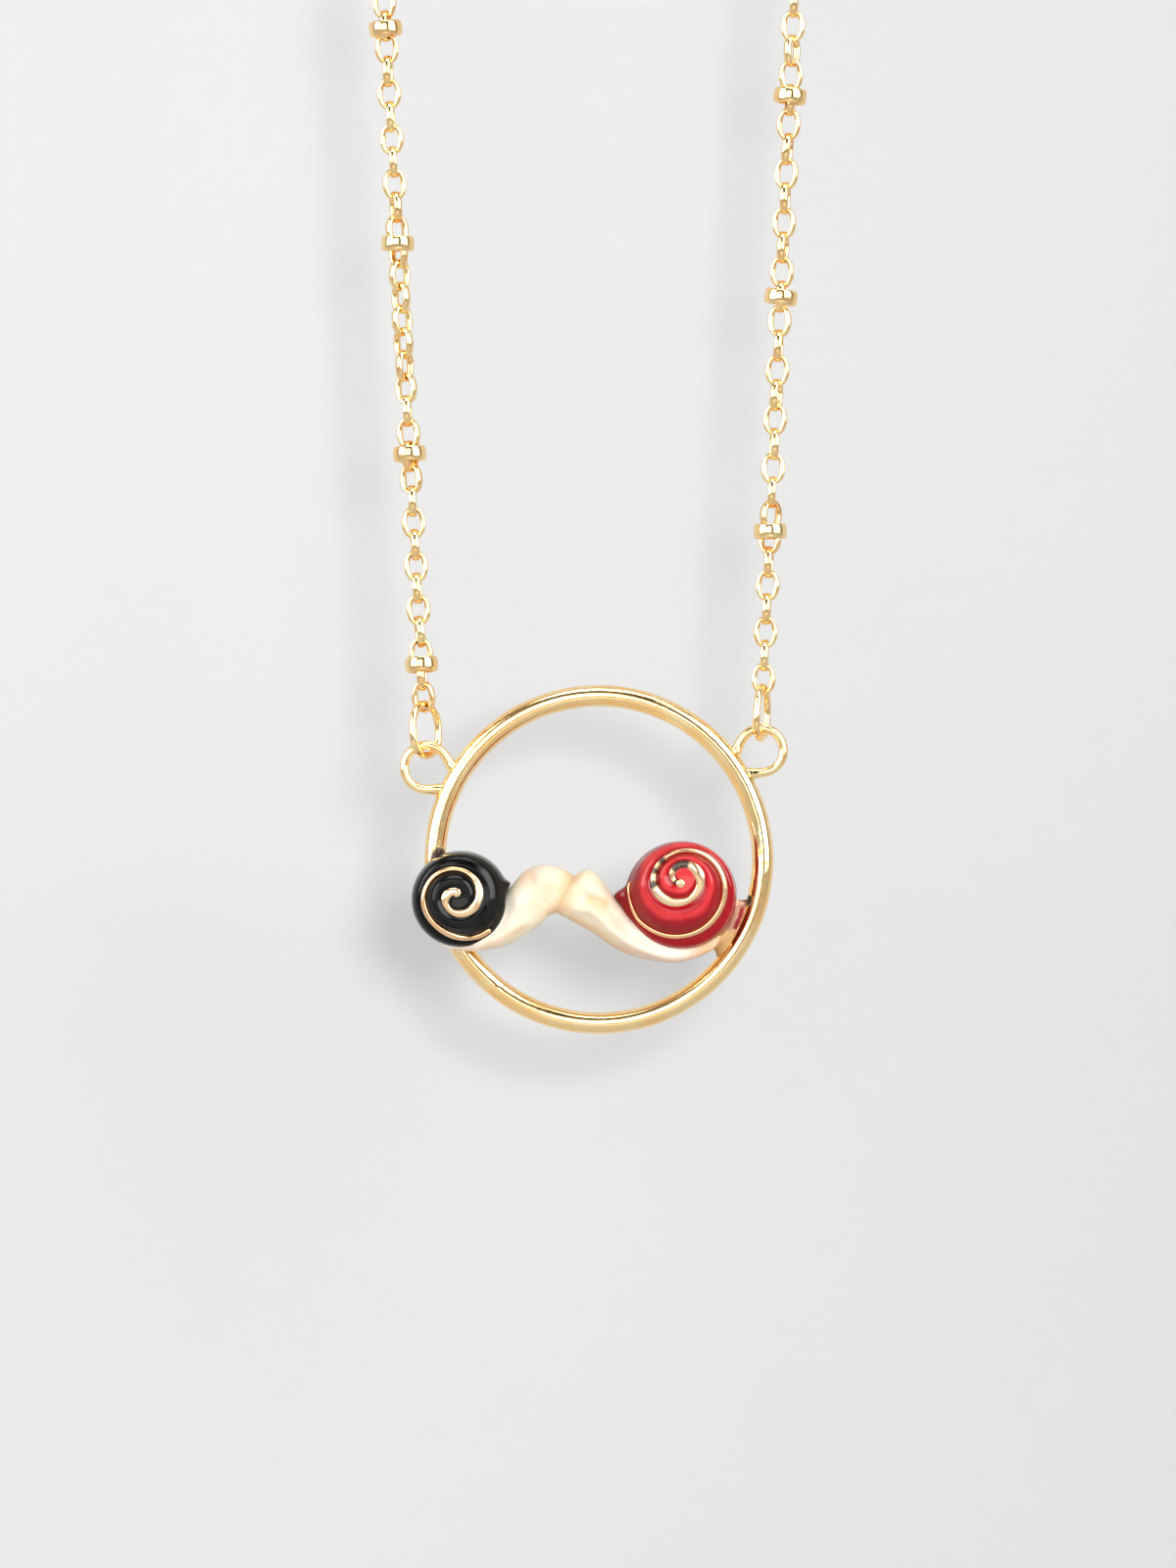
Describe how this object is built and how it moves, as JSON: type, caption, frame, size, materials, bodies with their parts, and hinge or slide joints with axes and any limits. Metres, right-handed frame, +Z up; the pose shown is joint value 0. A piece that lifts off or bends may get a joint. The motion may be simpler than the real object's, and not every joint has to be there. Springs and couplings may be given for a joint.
{
  "type": "snail necklace",
  "caption": "Fine satellite chain necklace with a wire hoop pendant that holds two kissing enamelled snails.",
  "frame": {"origin": "the highest point inside the neck loop, under the clasp, where the necklace hangs on a neck or a peg", "axes": "+Z up along the hanging necklace, +X to the viewer's right, -Y to the viewer, out of the front of the hoop"},
  "size_m": [0.047, 0.0088, 0.2077],
  "materials": {
    "hoop_gold": "polished gold plate",
    "chain_gold": "bright gold plate",
    "line_gold": "polished gold plate",
    "black_enamel": "gloss",
    "red_enamel": "gloss",
    "ivory_enamel": "pearly gloss"
  },
  "bodies": {
    "chain": {"end_link_left": "hoop_gold", "end_link_right": "hoop_gold", "chain_left": "chain_gold", "chain_right": "chain_gold", "beads_left": "chain_gold", "beads_right": "chain_gold", "clasp": "chain_gold"},
    "pendant": {"hoop": "hoop_gold", "snail_left_body": "ivory_enamel", "snail_left_shell": "black_enamel", "snail_left_spiral": "line_gold", "snail_right_body": "ivory_enamel", "snail_right_shell": "red_enamel", "snail_right_spiral": "line_gold"}
  },
  "joints": [
    {"name": "pendant_swing", "type": "hinge", "parent": "chain", "child": "pendant", "pos_m": [-0.01346, 0, -0.18127], "axis": [0.9987, 0, 0.0506], "range_deg": [-75, 75]}
  ]
}
